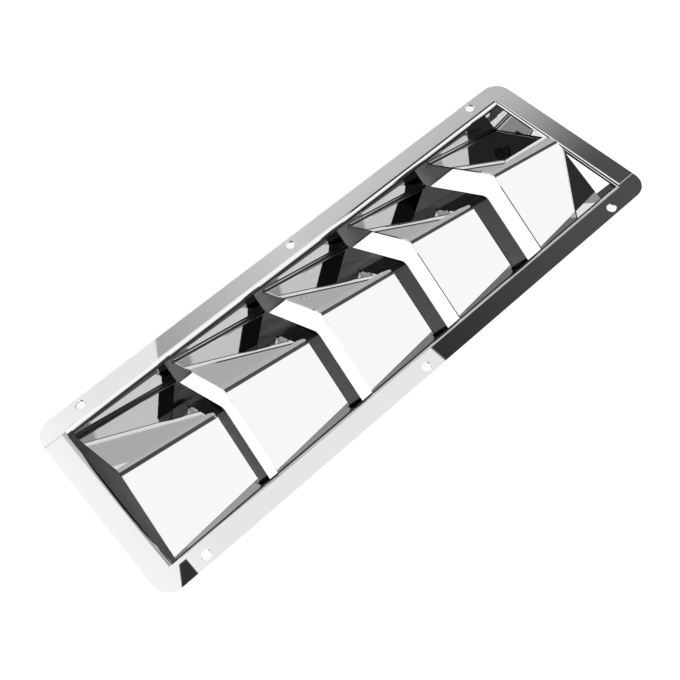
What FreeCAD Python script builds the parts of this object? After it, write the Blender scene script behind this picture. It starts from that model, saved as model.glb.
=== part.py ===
import FreeCAD, Part
import os, math
from FreeCAD import Vector as V

os.makedirs("parts", exist_ok=True)

# Louvred panel, millimetres. The back of the flange is z = 0, +X runs along the panel away from
# the first louvre, +Z points out of the face. The origin is the centre of the opening.
SHEET = 1.0                  # thickness of the frame strips
BEND_RADIUS = 2.2            # outside of the bend between flange and wall
OPENING_LENGTH = 300.2       # between the inner faces of the end walls
OPENING_WIDTH = 87.2         # between the inner faces of the side walls
FLANGE_WIDTH = 12.4          # from the wall's inner face to the panel's edge
CORNER_RADIUS = 10.0
WALL_DEPTH = 26.5            # from the back of the flange to the lower rim
SEAM_GAP = 0.25              # open slit in the flange where end strip and side strip meet

# Six screw holes in the long flanges
SCREW_HOLE_D = 4.7
SCREW_HOLE_CHAMFER = 0.3
SCREW_FROM_EDGE = 4.1        # hole centre to the panel's long edge
SCREW_FROM_END = 26.0        # outer hole centre to the panel's short edge

# Louvre blades: bent roofs that fall towards +X, one behind another, open at the raised end. The
# sides of each sheet turn up as cheeks that lie against the side walls.
BLADE_COUNT = 5
BLADE_SHEET = 0.8
MOUTH_SETBACK = 7.1          # from the near end wall to the peak of the first mouth
LAST_BLADE_CUT = 10.2        # the last blade ends this much short of a full pitch, at the far wall
MOUTH_RISE = 16.3            # peak of a mouth above the flange's face, before the ridge is rounded
RIDGE_FALL = 0.27            # fall of the ridge per mm along +X
SIDE_FALL = 0.56             # fall of both sides per mm away from the ridge
MOUTH_LEAN = 0.22            # the mouth's plane leans forward by this much per mm of height
MOUTH_GAP = 0.3              # along X, between a blade's low end and the next mouth's plane
RIDGE_RADIUS = 5.0           # outside of the rounded ridge
CHEEK_RADIUS = 1.0           # inside of the bend between roof and cheek
CHEEK_TOP = SHEET - BEND_RADIUS  # height of the cheeks' upper edge, where the frame's bend starts

HALF_LENGTH = OPENING_LENGTH / 2.0
HALF_WIDTH = OPENING_WIDTH / 2.0
EDGE_X = HALF_LENGTH + FLANGE_WIDTH
EDGE_Y = HALF_WIDTH + FLANGE_WIDTH
BLADE_PITCH = (OPENING_LENGTH - MOUTH_SETBACK + LAST_BLADE_CUT) / BLADE_COUNT
PEAK_Z = SHEET + MOUTH_RISE
BAR_LENGTH = 2.0 * BLADE_PITCH   # bent bar from which one blade is cut


def polyline_face(points):
    return Part.Face(Part.makePolygon(points + [points[0]]))


def strip_profile(place):
    """Bent section of a frame strip; place turns (distance from the opening, height) into a point."""
    bend_z = SHEET - BEND_RADIUS
    diagonal = math.sqrt(0.5)
    root = BEND_RADIUS - SHEET

    def line(a, b):
        return Part.LineSegment(place(*a), place(*b)).toShape()

    def bend(radius, a, b):
        middle = (BEND_RADIUS - radius * diagonal, bend_z + radius * diagonal)
        return Part.Arc(place(*a), place(*middle), place(*b)).toShape()

    rim_in, rim_out = (0.0, -WALL_DEPTH), (SHEET, -WALL_DEPTH)
    wall_top, flange_start = (0.0, bend_z), (BEND_RADIUS, SHEET)
    edge_top, edge_back = (FLANGE_WIDTH, SHEET), (FLANGE_WIDTH, 0.0)
    back_start, wall_back = (BEND_RADIUS, 0.0), (SHEET, bend_z)
    edges = [line(rim_in, wall_top), bend(BEND_RADIUS, wall_top, flange_start),
             line(flange_start, edge_top), line(edge_top, edge_back), line(edge_back, back_start),
             bend(root, back_start, wall_back), line(wall_back, rim_out), line(rim_out, rim_in)]
    return Part.Face(Part.Wire(edges))


def end_strip(side):
    """Angle strip across one end, held between the corner tabs of the side strips."""
    half = HALF_WIDTH + SHEET - SEAM_GAP
    face = strip_profile(lambda out, z: V(side * (HALF_LENGTH + out), -half, z))
    return face.extrude(V(0, 2.0 * half, 0))


def corner_tab(side, end):
    """Flange corner past the end of the side wall."""
    low_y = HALF_WIDTH + SHEET
    size_x, size_y = FLANGE_WIDTH, EDGE_Y - low_y
    corner = V(HALF_LENGTH if end > 0 else -EDGE_X, low_y if side > 0 else -EDGE_Y, 0.0)
    return Part.makeBox(size_x, size_y, SHEET, corner)


def outer_corners(solid):
    """Upright edges at the panel's two corners on this strip."""
    found = []
    for edge in solid.Edges:
        a, b = edge.Vertexes[0].Point, edge.Vertexes[-1].Point
        upright = abs(a.x - b.x) < 1e-6 and abs(a.y - b.y) < 1e-6 and abs(a.z - b.z) > 1e-6
        if upright and abs(abs(a.x) - EDGE_X) < 1e-6 and abs(abs(a.y) - EDGE_Y) < 1e-6:
            found.append(edge)
    return found


def screw_hole(x, y):
    """Cutter for one hole, with its edge broken on the face."""
    radius = SCREW_HOLE_D / 2.0
    chamfer = SCREW_HOLE_CHAMFER
    bore = Part.makeCylinder(radius, 3.0 * SHEET, V(x, y, -SHEET))
    cone = Part.makeCone(radius, radius + 2.0 * chamfer, 2.0 * chamfer, V(x, y, SHEET - chamfer))
    return bore.fuse(cone)


def side_strip(side):
    """Angle strip along one long side, with the panel's rounded corners and three screw holes."""
    face = strip_profile(lambda out, z: V(-HALF_LENGTH, side * (HALF_WIDTH + out), z))
    strip = face.extrude(V(OPENING_LENGTH, 0, 0))
    strip = strip.fuse([corner_tab(side, -1), corner_tab(side, 1)]).removeSplitter()
    strip = strip.makeFillet(CORNER_RADIUS, outer_corners(strip))
    hole_y = side * (EDGE_Y - SCREW_FROM_EDGE)
    reach = EDGE_X - SCREW_FROM_END
    return strip.cut([screw_hole(x, hole_y) for x in (-reach, 0.0, reach)])


def rounded_line(points, radii):
    """Edges of an open line in which each inner corner is rounded by its own radius."""
    edges, start = [], points[0]
    for before, corner, after, radius in zip(points, points[1:], points[2:], radii):
        back, ahead = (before - corner).normalize(), (after - corner).normalize()
        half = back.getAngle(ahead) / 2.0
        a, b = corner + back * (radius / math.tan(half)), corner + ahead * (radius / math.tan(half))
        middle = corner + (back + ahead).normalize() * (radius / math.sin(half) - radius)
        edges += [Part.LineSegment(start, a).toShape(), Part.Arc(a, middle, b).toShape()]
        start = b
    return edges + [Part.LineSegment(start, points[-1]).toShape()]


def roof_bar(peak_x):
    """Bent sheet running down the ridge, with tall cheeks, longer than the blade at both ends."""
    start_x = peak_x - BLADE_PITCH / 2.0
    run = BAR_LENGTH
    depth = BLADE_SHEET * math.sqrt(1.0 + RIDGE_FALL ** 2 + SIDE_FALL ** 2)
    cheek_z = CHEEK_TOP + RIDGE_FALL * run
    ridge_z = PEAK_Z + RIDGE_FALL * (peak_x - start_x)

    def corners(half, top):
        foot = top - SIDE_FALL * half
        return [V(start_x, -half, cheek_z), V(start_x, -half, foot), V(start_x, 0, top),
                V(start_x, half, foot), V(start_x, half, cheek_z)]

    face = corners(HALF_WIDTH - BLADE_SHEET, ridge_z)
    back = corners(HALF_WIDTH, ridge_z - depth)
    outer_fold = CHEEK_RADIUS + BLADE_SHEET
    edges = rounded_line(face, (CHEEK_RADIUS, RIDGE_RADIUS, CHEEK_RADIUS))
    edges += rounded_line(back, (outer_fold, RIDGE_RADIUS - BLADE_SHEET, outer_fold))
    edges += [Part.LineSegment(face[0], back[0]).toShape(), Part.LineSegment(face[-1], back[-1]).toShape()]
    section = Part.Face(Part.Wire(Part.__sortEdges__(edges)))
    return section.extrude(V(run, 0, -RIDGE_FALL * run))


def above_cheeks(peak_x):
    """Room over the level upper edge of both cheeks."""
    inset = HALF_WIDTH - BLADE_SHEET - CHEEK_RADIUS
    size = V(BAR_LENGTH, EDGE_Y - inset, PEAK_Z + RIDGE_FALL * BAR_LENGTH)
    start_x = peak_x - BLADE_PITCH / 2.0
    return [Part.makeBox(size.x, size.y, size.z, V(start_x, y, CHEEK_TOP)) for y in (-EDGE_Y, inset)]


def blade_space(peak_x, last):
    """Room of one blade: between its mouth's plane and its low end, above the rim."""
    high, rim = PEAK_Z + RIDGE_RADIUS, -WALL_DEPTH

    def mouth_x(z):
        return peak_x + MOUTH_LEAN * (z - PEAK_Z)

    reach = BLADE_PITCH - MOUTH_GAP
    low_end = [V(HALF_LENGTH, -EDGE_Y, high), V(HALF_LENGTH, -EDGE_Y, rim)]
    if not last:
        low_end = [V(mouth_x(high) + reach, -EDGE_Y, high), V(mouth_x(rim) + reach, -EDGE_Y, rim)]
    outline = [V(mouth_x(high), -EDGE_Y, high)] + low_end + [V(mouth_x(rim), -EDGE_Y, rim)]
    return polyline_face(outline).extrude(V(0, 2.0 * EDGE_Y, 0))


def louvre_blade(index):
    peak_x = MOUTH_SETBACK - HALF_LENGTH + BLADE_PITCH * index
    bar = roof_bar(peak_x).common(blade_space(peak_x, index == BLADE_COUNT - 1))
    return bar.cut(above_cheeks(peak_x))


def write(name, shape):
    solid = shape.Solids[0] if len(shape.Solids) == 1 else shape
    solid.exportStep("parts/%s.step" % name)


write("side_strip_left", side_strip(1))
write("side_strip_right", side_strip(-1))
write("end_strip_near", end_strip(-1))
write("end_strip_far", end_strip(1))
for number in range(BLADE_COUNT):
    write("louvre_blade_%d" % (number + 1), louvre_blade(number))
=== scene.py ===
import bpy
import math
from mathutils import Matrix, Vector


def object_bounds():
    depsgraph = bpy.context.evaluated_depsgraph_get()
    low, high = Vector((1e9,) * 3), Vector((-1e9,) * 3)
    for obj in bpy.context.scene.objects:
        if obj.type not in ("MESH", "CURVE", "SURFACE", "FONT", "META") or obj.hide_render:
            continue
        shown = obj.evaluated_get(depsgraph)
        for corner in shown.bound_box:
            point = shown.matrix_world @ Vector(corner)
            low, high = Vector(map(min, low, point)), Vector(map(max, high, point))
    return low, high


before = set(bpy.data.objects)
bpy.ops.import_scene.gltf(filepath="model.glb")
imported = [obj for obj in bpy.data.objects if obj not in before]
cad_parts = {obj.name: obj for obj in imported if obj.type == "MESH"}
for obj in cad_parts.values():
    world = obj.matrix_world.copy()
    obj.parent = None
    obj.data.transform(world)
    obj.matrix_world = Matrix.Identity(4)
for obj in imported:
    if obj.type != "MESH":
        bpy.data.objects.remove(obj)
cad_box = [list(corner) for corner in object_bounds()]

# Frame strips. Four angle strips of 1 mm stainless steel with a mirror finish. How they were made isn't
# known. They are taken as bent and buffed along their length before they are welded at the corners, so
# faint lines follow each strip, and as a little wavy, which bends what they reflect.
MM = 0.001
STEEL_HEX = "F0F0F0"
SMEARED_SHARE = 0.96         # how bright the steel stays in the middle of a smear
SMEAR_SIZE = 18 * MM
HAZE = (0.15, 0.45)          # the noise levels between which the steel goes from smooth to rough
STRIP_LINE_GAP = 0.7 * MM
STRIP_LINE_LENGTH = 60 * MM
STRIP_WAVE = 45 * MM
STRIP_WAVE_DEPTH = 0.012 * MM
STRIP_ROUGHNESS = (0.005, 0.02)


def linear(hex_colour):
    """An sRGB hex colour as the linear RGBA that a shader takes."""
    channels = [int(hex_colour[i:i + 2], 16) / 255 for i in (0, 2, 4)]
    return [c / 12.92 if c <= 0.04045 else ((c + 0.055) / 1.055) ** 2.4 for c in channels] + [1.0]


def add(tree, kind, settings=None, links=None):
    """Adds a node. A setting is a property or an input's value, and a link feeds an input."""
    made = tree.nodes.new(kind)
    for key, value in (settings or {}).items():
        if isinstance(key, str) and hasattr(made, key):
            setattr(made, key, value)
        else:
            made.inputs[key].default_value = value
    for key, source in (links or {}).items():
        tree.links.new(source, made.inputs[key])
    return made


def mirror_steel(name, line_scale, wave, wave_depth, roughness):
    """Buffed stainless steel: near mirror, with fine buffing lines, faint smears and a slow wave."""
    material = bpy.data.materials.new(name)
    material.use_nodes = True
    tree = material.node_tree
    shader = tree.nodes["Principled BSDF"]
    shader.inputs["Metallic"].default_value = 1.0
    place = add(tree, "ShaderNodeTexCoord").outputs["Object"]
    lined = add(tree, "ShaderNodeMapping", {"Scale": line_scale}, {"Vector": place})
    lines = add(tree, "ShaderNodeTexNoise", {"Scale": 1.0, "Detail": 3.0, "Roughness": 0.6},
                {"Vector": lined.outputs[0]})
    smears = add(tree, "ShaderNodeTexNoise", {"Scale": 1 / SMEAR_SIZE, "Detail": 4.0}, {"Vector": place})
    haze = add(tree, "ShaderNodeMath", {"operation": "MULTIPLY"},
               {0: lines.outputs["Fac"], 1: smears.outputs["Fac"]})
    rough = add(tree, "ShaderNodeMapRange",
                {"From Min": HAZE[0], "From Max": HAZE[1], "To Min": roughness[0], "To Max": roughness[1]},
                {"Value": haze.outputs[0]})
    tree.links.new(rough.outputs[0], shader.inputs["Roughness"])
    tint = add(tree, "ShaderNodeMix", {"data_type": "RGBA"}, {"Factor": smears.outputs["Fac"]})
    tint.inputs["A"].default_value = linear(STEEL_HEX)
    tint.inputs["B"].default_value = [c * SMEARED_SHARE for c in linear(STEEL_HEX)[:3]] + [1.0]
    tree.links.new(tint.outputs["Result"], shader.inputs["Base Color"])
    waves = add(tree, "ShaderNodeTexNoise", {"Scale": 1 / wave, "Detail": 1.0}, {"Vector": place})
    bump = add(tree, "ShaderNodeBump", {"Strength": 1.0, "Distance": wave_depth},
               {"Height": waves.outputs["Fac"]})
    tree.links.new(bump.outputs[0], shader.inputs["Normal"])
    return material


along_x = (1 / STRIP_LINE_LENGTH, 1 / STRIP_LINE_GAP, 1 / STRIP_LINE_GAP)
along_y = (1 / STRIP_LINE_GAP, 1 / STRIP_LINE_LENGTH, 1 / STRIP_LINE_GAP)
side_steel = mirror_steel("buffed_stainless_side_strip", along_x, STRIP_WAVE, STRIP_WAVE_DEPTH,
                          STRIP_ROUGHNESS)
end_steel = mirror_steel("buffed_stainless_end_strip", along_y, STRIP_WAVE, STRIP_WAVE_DEPTH,
                         STRIP_ROUGHNESS)
for strip, steel in (("side_strip_left", side_steel), ("side_strip_right", side_steel),
                     ("end_strip_near", end_steel), ("end_strip_far", end_steel)):
    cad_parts[strip].material_slots[0].material = steel

# Louvre blades. Five roofs bent from 0.8 mm stainless sheet, between the side walls. They are taken as
# buffed flat before the bend, so the lines run down the blade, and as left slightly bowed by it.
BLADE_LINE_GAP = 0.5 * MM
BLADE_LINE_LENGTH = 35 * MM
BLADE_WAVE = 30 * MM
BLADE_WAVE_DEPTH = 0.01 * MM
BLADE_ROUGHNESS = (0.005, 0.02)
down_blade = (1 / BLADE_LINE_LENGTH, 1 / BLADE_LINE_GAP, 1 / BLADE_LINE_GAP)
blade_steel = mirror_steel("buffed_stainless_blade", down_blade, BLADE_WAVE, BLADE_WAVE_DEPTH,
                           BLADE_ROUGHNESS)

# Painted shade and duller places on the blades. Their tones and limits are chosen so that the sheets, and
# what they reflect of one another, come out as in the photograph. Painted shade darkens the folds where the
# roofs turn up into cheeks, the cheeks' upper edges, the left slopes, the left undersides, the right cheeks
# towards the far end and the left cheek at the far wall, and the cheeks are satin near the mouths. The
# places are found from the roofs' slopes, with x wrapped to one pitch for what all blades have.
FIRST_PEAK_X = -143.0 * MM
BLADE_PITCH = 60.66 * MM
PEAK_HEIGHT = 17.3 * MM
RIDGE_FALL = 0.27
SIDE_FALL = 0.56
CHEEK_FACE_Y = 42.8 * MM
CHEEK_TOP_Z = -1.2 * MM
CHEEK_SKIN = (0.1 * MM, 0.2 * MM)      # a point this near to the cheeks' face is on the cheek
MIDDLE = (-1 * MM, 1 * MM)             # the change from the right side to the left
MOUTH_REACH = 6 * MM                   # how far a mouth's low corners stand in front of its peak
UNDERSIDE_DEPTH = 0.84 * MM            # an underside is this much below the roof's face, or more
# painted shade in the folds between roofs and cheeks reaches this far onto each
FOLD_ON_ROOF = (1.1 * MM, 1.6 * MM)
FOLD_ON_CHEEK = (0.7 * MM, 1.2 * MM)
WEDGE_HEIGHT = 1.4 * MM                # the painted shade in the first blade's fold reaches this much higher at its mouth
WEDGE_LENGTH = 50 * MM
# painted shade along the cheeks' top edges reaches this far down
TOP_EDGE_SHADE_DEPTH = 0.3 * MM
SATIN_MOUTH = (3 * MM, 6 * MM)         # this far behind a peak, the cheek turns from satin to mirror
CHEEK_SHADE_FADE = (150 * MM, -260 * MM)     # painted shade: the right cheeks are darker towards the far end
CHEEK_SHADE_END = (139 * MM, 140 * MM)        # but bright again in the far corner, where the painted shade stops
FAR_SHADE_END = (144 * MM, 143.5 * MM)    # painted shade: the left cheek is dark near the far wall
FAR_SHADE_DOWN = (-8.8 * MM, -9.2 * MM)   # as far down as this
# painted shade in the folds, along the cheeks' top edges and at the far end of the left cheek
PAINTED_SHADE_HEX, PAINTED_SHADE_ROUGHNESS = "3C3C3C", 0.3
SATIN_HEX, SATIN_ROUGHNESS = "C8C8C8", 0.4
# painted shade on the left slopes
LEFT_ROOF_SHADE_HEX, LEFT_ROOF_ROUGHNESS = "DFDFDF", 0.012
# painted shade on the left undersides, which the roofs reflect as dark
UNDERSIDE_SHADE_HEX, UNDERSIDE_ROUGHNESS = "6A6A6A", 0.15
# painted shade on the right cheeks
CHEEK_SHADE_HEX, CHEEK_ROUGHNESS = "7C7C7C", 0.03


def paint_dull_or_shaded(material, mask, hex_colour, roughness):
    """Gives a material another colour and roughness where the mask is 1, for a duller finish or for painted
    shade.
    """
    tree = material.node_tree
    shader = tree.nodes["Principled BSDF"]
    duller = (("Base Color", "RGBA", linear(hex_colour)), ("Roughness", "FLOAT", roughness))
    for socket, kind, value in duller:
        polished = shader.inputs[socket].links[0].from_socket
        mixed = add(tree, "ShaderNodeMix", {"data_type": kind}, {"Factor": mask})
        mixed.inputs["B"].default_value = value
        tree.links.new(polished, mixed.inputs["A"])
        tree.links.new(mixed.outputs["Result"], shader.inputs[socket])


def fade(tree, value, start, end):
    """1 on start's side, going softly to 0 at end."""
    return add(tree, "ShaderNodeMapRange", {"interpolation_type": "SMOOTHSTEP", "From Min": start,
                                            "From Max": end, "To Min": 1.0, "To Max": 0.0},
               {"Value": value}).outputs[0]


def ramp(tree, value, low, high, at_low, at_high):
    """Goes from one level to another between two values, and stays level outside them."""
    return add(tree, "ShaderNodeMapRange", {"From Min": low, "From Max": high, "To Min": at_low,
                                            "To Max": at_high}, {"Value": value}).outputs[0]


def times(tree, *factors):
    """The product of two or more masks or levels."""
    product = factors[0]
    for factor in factors[1:]:
        product = add(tree, "ShaderNodeMath", {"operation": "MULTIPLY"}, {0: product, 1: factor}).outputs[0]
    return product


def below_roof(tree, place, wrapped_x):
    """Depth of a point below its blade's roof, taken as two flat slopes, and its distance off the ridge."""
    off = add(tree, "ShaderNodeMath", {"operation": "ABSOLUTE"}, {0: place["Y"]}).outputs[0]
    spot = add(tree, "ShaderNodeCombineXYZ", {}, {"X": wrapped_x, "Y": off, "Z": place["Z"]}).outputs[0]
    slopes = (RIDGE_FALL, SIDE_FALL, 1.0)
    climb = add(tree, "ShaderNodeVectorMath", {"operation": "DOT_PRODUCT", 1: slopes}, {0: spot})
    top = PEAK_HEIGHT + RIDGE_FALL * FIRST_PEAK_X
    depth = add(tree, "ShaderNodeMath", {"operation": "SUBTRACT", 0: top}, {1: climb.outputs["Value"]})
    return depth.outputs[0], off


blade = blade_steel.node_tree
blade_place = add(blade, "ShaderNodeTexCoord").outputs["Object"]
place = add(blade, "ShaderNodeSeparateXYZ", {}, {0: blade_place}).outputs
pitch_start = FIRST_PEAK_X - MOUTH_REACH
one_blade = add(blade, "ShaderNodeMath", {"operation": "WRAP", 1: pitch_start + BLADE_PITCH, 2: pitch_start},
                {0: place["X"]}).outputs[0]
depth, off = below_roof(blade, place, one_blade)
roof = add(blade, "ShaderNodeMath", {"operation": "LESS_THAN", 1: UNDERSIDE_DEPTH}, {0: depth}).outputs[0]
underside = add(blade, "ShaderNodeMath", {"operation": "SUBTRACT", 0: 1.0}, {1: roof}).outputs[0]
inward = add(blade, "ShaderNodeMath", {"operation": "SUBTRACT", 0: CHEEK_FACE_Y}, {1: off}).outputs[0]
on_cheek = fade(blade, inward, *CHEEK_SKIN)
off_cheek = fade(blade, inward, *reversed(CHEEK_SKIN))
on_right = fade(blade, place["Y"], *MIDDLE)
on_left = fade(blade, place["Y"], *reversed(MIDDLE))

# Painted shade in the folds, reaching higher at the first blade's mouth.
wedge = ramp(blade, place["X"], FIRST_PEAK_X, FIRST_PEAK_X + WEDGE_LENGTH, WEDGE_HEIGHT, 0.0)
lowered = add(blade, "ShaderNodeMath", {"operation": "ADD"}, {0: depth, 1: wedge}).outputs[0]
above = add(blade, "ShaderNodeMath", {"operation": "MULTIPLY", 1: -1.0}, {0: lowered}).outputs[0]
fold_shade = times(blade, fade(blade, inward, *FOLD_ON_ROOF), fade(blade, above, *FOLD_ON_CHEEK))
top_edge_shade = add(blade, "ShaderNodeMath", {"operation": "GREATER_THAN", 1: CHEEK_TOP_Z - TOP_EDGE_SHADE_DEPTH},
           {0: place["Z"]}).outputs[0]
at_mouth = fade(blade, one_blade, FIRST_PEAK_X + SATIN_MOUTH[0], FIRST_PEAK_X + SATIN_MOUTH[1])
right_cheek_shade = times(blade, fade(blade, place["X"], *CHEEK_SHADE_FADE), fade(blade, place["X"], *CHEEK_SHADE_END))
far_cheek_shade = times(blade, fade(blade, place["X"], *FAR_SHADE_END), fade(blade, place["Z"], *FAR_SHADE_DOWN))

# painted shade on the right cheeks, darker towards the far end
paint_dull_or_shaded(blade_steel, times(blade, on_right, on_cheek, right_cheek_shade), CHEEK_SHADE_HEX, CHEEK_ROUGHNESS)
# painted shade on the left slopes
paint_dull_or_shaded(blade_steel, times(blade, on_left, roof, off_cheek), LEFT_ROOF_SHADE_HEX, LEFT_ROOF_ROUGHNESS)
# painted shade on the left undersides, which the roofs reflect as dark
paint_dull_or_shaded(blade_steel, times(blade, on_left, underside), UNDERSIDE_SHADE_HEX, UNDERSIDE_ROUGHNESS)
paint_dull_or_shaded(blade_steel, times(blade, on_cheek, at_mouth), SATIN_HEX, SATIN_ROUGHNESS)
# painted shade along the cheeks' top edges
paint_dull_or_shaded(blade_steel, times(blade, on_cheek, top_edge_shade), PAINTED_SHADE_HEX, PAINTED_SHADE_ROUGHNESS)
# painted shade at the far end of the left cheek
paint_dull_or_shaded(blade_steel, times(blade, on_left, on_cheek, far_cheek_shade), PAINTED_SHADE_HEX, PAINTED_SHADE_ROUGHNESS)
# painted shade in the folds
paint_dull_or_shaded(blade_steel, fold_shade, PAINTED_SHADE_HEX, PAINTED_SHADE_ROUGHNESS)
for name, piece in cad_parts.items():
    if name.startswith("louvre_blade_"):
        piece.material_slots[0].material = blade_steel

# Floor. A pale matt table that the panel lies on, face up, on the rims of its walls. The camera sees it
# a little brighter than it is lit, so that it stays white. So does the steel on the right, while on the
# left the steel sees only a small share of that glow. No real table does this: the share is chosen so that
# the left slopes come out as in the photograph.
FLOOR_SIZE = 8.0
FLOOR_HEX = "D2D2D2"
FLOOR_ROUGHNESS = 0.9
FLOOR_GLOW = 0.68
LEFT_SHARE = 0.14
SHARE_CHANGE = 0.1 * MM      # the share changes over this distance, under the panel's middle
floor_z = cad_box[0][2]


def matt_paint(name):
    """Pale matt paint or paper, without any gloss."""
    material = bpy.data.materials.new(name)
    material.use_nodes = True
    shader = material.node_tree.nodes["Principled BSDF"]
    shader.inputs["Base Color"].default_value = linear(FLOOR_HEX)
    shader.inputs["Specular IOR Level"].default_value = 0.0
    return material


def glow_white(material, strength):
    """Makes a paint glow white, as strongly as the socket says."""
    shader = material.node_tree.nodes["Principled BSDF"]
    shader.inputs["Emission Color"].default_value = (1, 1, 1, 1)
    material.node_tree.links.new(strength, shader.inputs["Emission Strength"])


def lay_plane(name, centre, length, width, paint):
    """A flat stage piece on the table, which isn't part of the panel."""
    bpy.ops.mesh.primitive_plane_add(size=1.0, location=centre)
    plane = bpy.context.object
    plane.name = name
    plane.scale = (length, width, 1)
    plane.data.materials.append(paint)


white_table = matt_paint("white_table")
table = white_table.node_tree
table.nodes["Principled BSDF"].inputs["Roughness"].default_value = FLOOR_ROUGHNESS
rays = add(table, "ShaderNodeLightPath").outputs
table_place = add(table, "ShaderNodeTexCoord").outputs["Object"]
across = add(table, "ShaderNodeSeparateXYZ", {}, {0: table_place}).outputs["Y"]
mirrored = times(table, rays["Is Glossy Ray"], ramp(table, across, -SHARE_CHANGE, 0.0, 1.0, LEFT_SHARE))
seen = add(table, "ShaderNodeMath", {"operation": "MAXIMUM"}, {0: rays["Is Camera Ray"], 1: mirrored})
glow = add(table, "ShaderNodeMath", {"operation": "MULTIPLY", 1: FLOOR_GLOW}, {0: seen.outputs[0]})
glow_white(white_table, glow.outputs[0])
bpy.ops.mesh.primitive_plane_add(size=FLOOR_SIZE, location=(0, 0, floor_z))
floor = bpy.context.object
floor.name = "floor"
floor.data.materials.append(white_table)

# Bare table inside the walls, in the panel's shade, which the first mouth looks down on. It reaches a
# little way under the walls.
SHADE_LENGTH = 301 * MM
SHADE_WIDTH = 88 * MM
SHADE_LIFT = 0.05 * MM
shade_place = (0, 0, floor_z + SHADE_LIFT)
lay_plane("shaded_table", shade_place, SHADE_LENGTH, SHADE_WIDTH, matt_paint("bare_table"))

# Backing sheet. White paper under the louvres, which glows for the camera, so the open mouths look
# through to white as they do in the photograph. It ends short of the first mouth.
SHEET_START = -138 * MM
SHEET_END = 149.5 * MM
SHEET_WIDTH = 86 * MM
SHEET_LIFT = 0.1 * MM
SHEET_GLINT = 0.05
white_backing = matt_paint("white_backing")
sheet = white_backing.node_tree
paths = add(sheet, "ShaderNodeLightPath").outputs
glint = add(sheet, "ShaderNodeMath", {"operation": "MULTIPLY_ADD", 1: SHEET_GLINT},
            {0: paths["Is Glossy Ray"], 2: paths["Is Camera Ray"]})
glow_white(white_backing, glint.outputs[0])
sheet_place = ((SHEET_START + SHEET_END) / 2, 0, floor_z + SHEET_LIFT)
lay_plane("backing_sheet", sheet_place, SHEET_END - SHEET_START, SHEET_WIDTH, white_backing)

# Studio. A white tent all round, seen as plain white by the camera. What the steel reflects of it has a
# grey wall on the left, dark openings past both ends, a dim strip between them and one small dark patch.
# The real surroundings aren't known. These are worked out from what the panel reflects in the photograph,
# and placed by the slopes x/z and y/z of the ray.
HORIZON = 0.02                           # the lowest z of a ray that counts as sky
FAR = 99.0                               # a slope beyond all that the steel reflects
# Levels of light, as two slopes and the level at each.
LIGHT_ACROSS = (-0.5, 0.3, 1.09, 0.925)  # the tent, from right to left
LIGHT_ALONG = (-0.12, 0.05, 1.3, 1.0)    # the tent is brighter behind the near end
GREY_NEAR = (0.16, 0.36, 0.43, 0.68)
GREY_FAR = (0.4, 0.8, 1.0, 0.84)
DARK = (0.4, 0.68, 0.035, 0.083)
DIM = (-0.7, 0.6, 0.56, 0.1)
# Edges, as two slopes and their softness, first along the panel and then across it.
EDGE_LEAN = 0.56                         # x per y, along the leaning edges of the wall and the patch
LEAN_TOP = 0.67
GREY_WALL = ((-0.2193, FAR, 0.002), (0.45, FAR, 0.03))
FAR_OPENING = ((0.398, FAR, 0.002), (-0.4, 0.56, 0.115))
NEAR_OPENING = ((-FAR, -0.28, 0.02), (-1.2, 0.75, 0.05))
PATCH_LEANING = (-0.2275, FAR, 0.0003)
PATCH = ((-FAR, 0.009, 0.0005), (0.36, 0.4045, 0.0005))
DIM_STRIP_RIGHT = ((-0.27, -0.14, 0.01), (-FAR, -0.71, 0.02))
DIM_STRIP_LEFT = ((-0.27, -0.14, 0.01), (0.6, FAR, 0.02))


def between(tree, slope, low, high, soft):
    """1 where a slope lies between two values, with soft edges."""
    past_low = fade(tree, slope, low + soft, low - soft)
    return times(tree, past_low, fade(tree, slope, high - soft, high + soft))


def hang(tree, light, level, *masks):
    """Puts something of the given level in front of the light, where all of the masks are 1."""
    return add(tree, "ShaderNodeMix", {"data_type": "FLOAT"},
               {"Factor": times(tree, *masks), "A": light, "B": level}).outputs[0]


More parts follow.
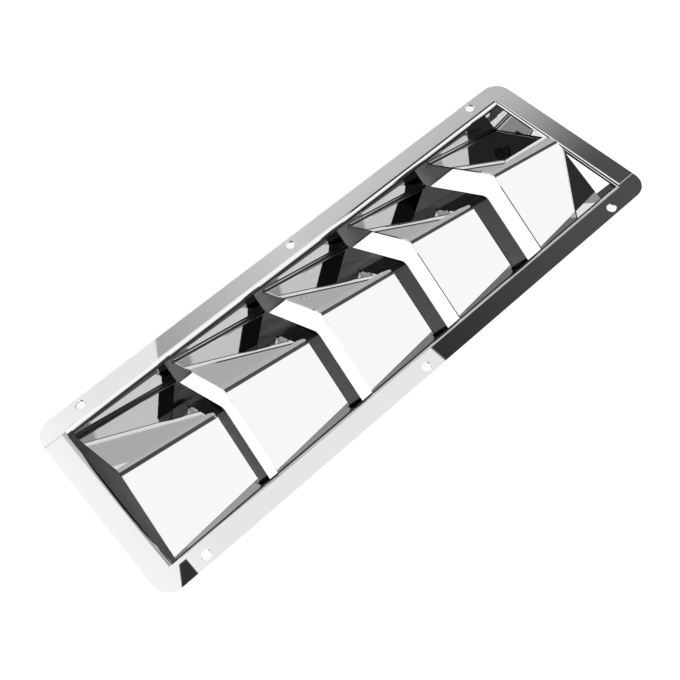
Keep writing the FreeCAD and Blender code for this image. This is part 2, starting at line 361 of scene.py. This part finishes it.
world = bpy.data.worlds.new("white_tent")
world.use_nodes = True
bpy.context.scene.world = world
tent = world.node_tree
tent.nodes.clear()
direction = add(tent, "ShaderNodeTexCoord").outputs["Generated"]
ray = add(tent, "ShaderNodeSeparateXYZ", {}, {0: direction}).outputs
height = add(tent, "ShaderNodeMath", {"operation": "MAXIMUM", 1: HORIZON}, {0: ray["Z"]}).outputs[0]
sky = add(tent, "ShaderNodeMath", {"operation": "GREATER_THAN", 1: HORIZON}, {0: ray["Z"]}).outputs[0]
slope_x = add(tent, "ShaderNodeMath", {"operation": "DIVIDE"}, {0: ray["X"], 1: height}).outputs[0]
slope_y = add(tent, "ShaderNodeMath", {"operation": "DIVIDE"}, {0: ray["Y"], 1: height}).outputs[0]
lean = add(tent, "ShaderNodeMath", {"operation": "MINIMUM", 1: LEAN_TOP}, {0: slope_y}).outputs[0]
leaning = add(tent, "ShaderNodeMath", {"operation": "MULTIPLY_ADD", 1: -EDGE_LEAN},
              {0: lean, 2: slope_x}).outputs[0]

grey = times(tent, ramp(tent, slope_x, *GREY_NEAR), ramp(tent, slope_x, *GREY_FAR))
dark = ramp(tent, slope_x, *DARK)
dim = ramp(tent, slope_y, *DIM)
light = times(tent, ramp(tent, slope_y, *LIGHT_ACROSS), ramp(tent, slope_x, *LIGHT_ALONG))
light = hang(tent, light, grey, sky, between(tent, leaning, *GREY_WALL[0]),
             between(tent, slope_y, *GREY_WALL[1]))
openings = ((dark, FAR_OPENING), (dark, NEAR_OPENING), (dim, DIM_STRIP_RIGHT), (dim, DIM_STRIP_LEFT))
for level, (edges_x, edges_y) in openings:
    light = hang(tent, light, level, sky, between(tent, slope_x, *edges_x), between(tent, slope_y, *edges_y))
light = hang(tent, light, dark, sky, between(tent, leaning, *PATCH_LEANING),
             between(tent, slope_x, *PATCH[0]), between(tent, slope_y, *PATCH[1]))
camera_ray = add(tent, "ShaderNodeLightPath").outputs["Is Camera Ray"]
shown = add(tent, "ShaderNodeMix", {"data_type": "FLOAT", "B": 1.0}, {"Factor": camera_ray, "A": light})
lit = add(tent, "ShaderNodeBackground", {"Color": (1, 1, 1, 1)}, {"Strength": shown.outputs[0]})
add(tent, "ShaderNodeOutputWorld", {}, {"Surface": lit.outputs[0]})

# Camera. Above the near right corner, looking along the panel, turned so that the far end rises to the
# right. Its place and lens come from the flange's rectangle and the screw holes in the photograph.
CAMERA_PLACE = (-0.1478, -0.20606, 0.39483)
CAMERA_TURN = (30.259, 4.991, -41.684)
CAMERA_LENS = 48.443
SENSOR_WIDTH = 36.0
NEAREST = 0.01
lens = bpy.data.cameras.new("camera")
lens.sensor_width = SENSOR_WIDTH
lens.lens = CAMERA_LENS
lens.clip_start = NEAREST
camera = bpy.data.objects.new("camera", lens)
camera.location = CAMERA_PLACE
camera.rotation_euler = [math.radians(angle) for angle in CAMERA_TURN]
bpy.context.scene.collection.objects.link(camera)
bpy.context.scene.camera = camera
bpy.context.scene.view_settings.view_transform = "Standard"
